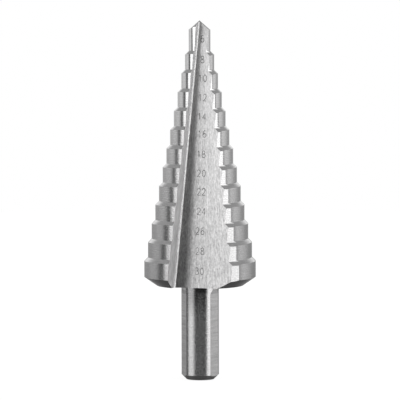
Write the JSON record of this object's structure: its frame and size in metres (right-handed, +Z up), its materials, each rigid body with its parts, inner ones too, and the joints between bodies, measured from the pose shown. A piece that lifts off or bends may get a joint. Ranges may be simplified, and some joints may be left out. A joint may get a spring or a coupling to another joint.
{
  "type": "step drill bit",
  "caption": "One-piece step drill with a self-starting point, relieved stepped lands, straight tapered flutes and a round shank with flats for a drill chuck.",
  "frame": {"origin": "centre of the shank's end face", "axes": "+Z up the axis to the point, -Y square to the middle of the front flute, +X to the right of that flute"},
  "size_m": [0.0298, 0.025, 0.0958],
  "materials": {
    "tool_steel": "bright ground high speed steel with fine grinding lines"
  },
  "bodies": {
    "root": {"step_drill": "tool_steel"}
  },
  "joints": []
}
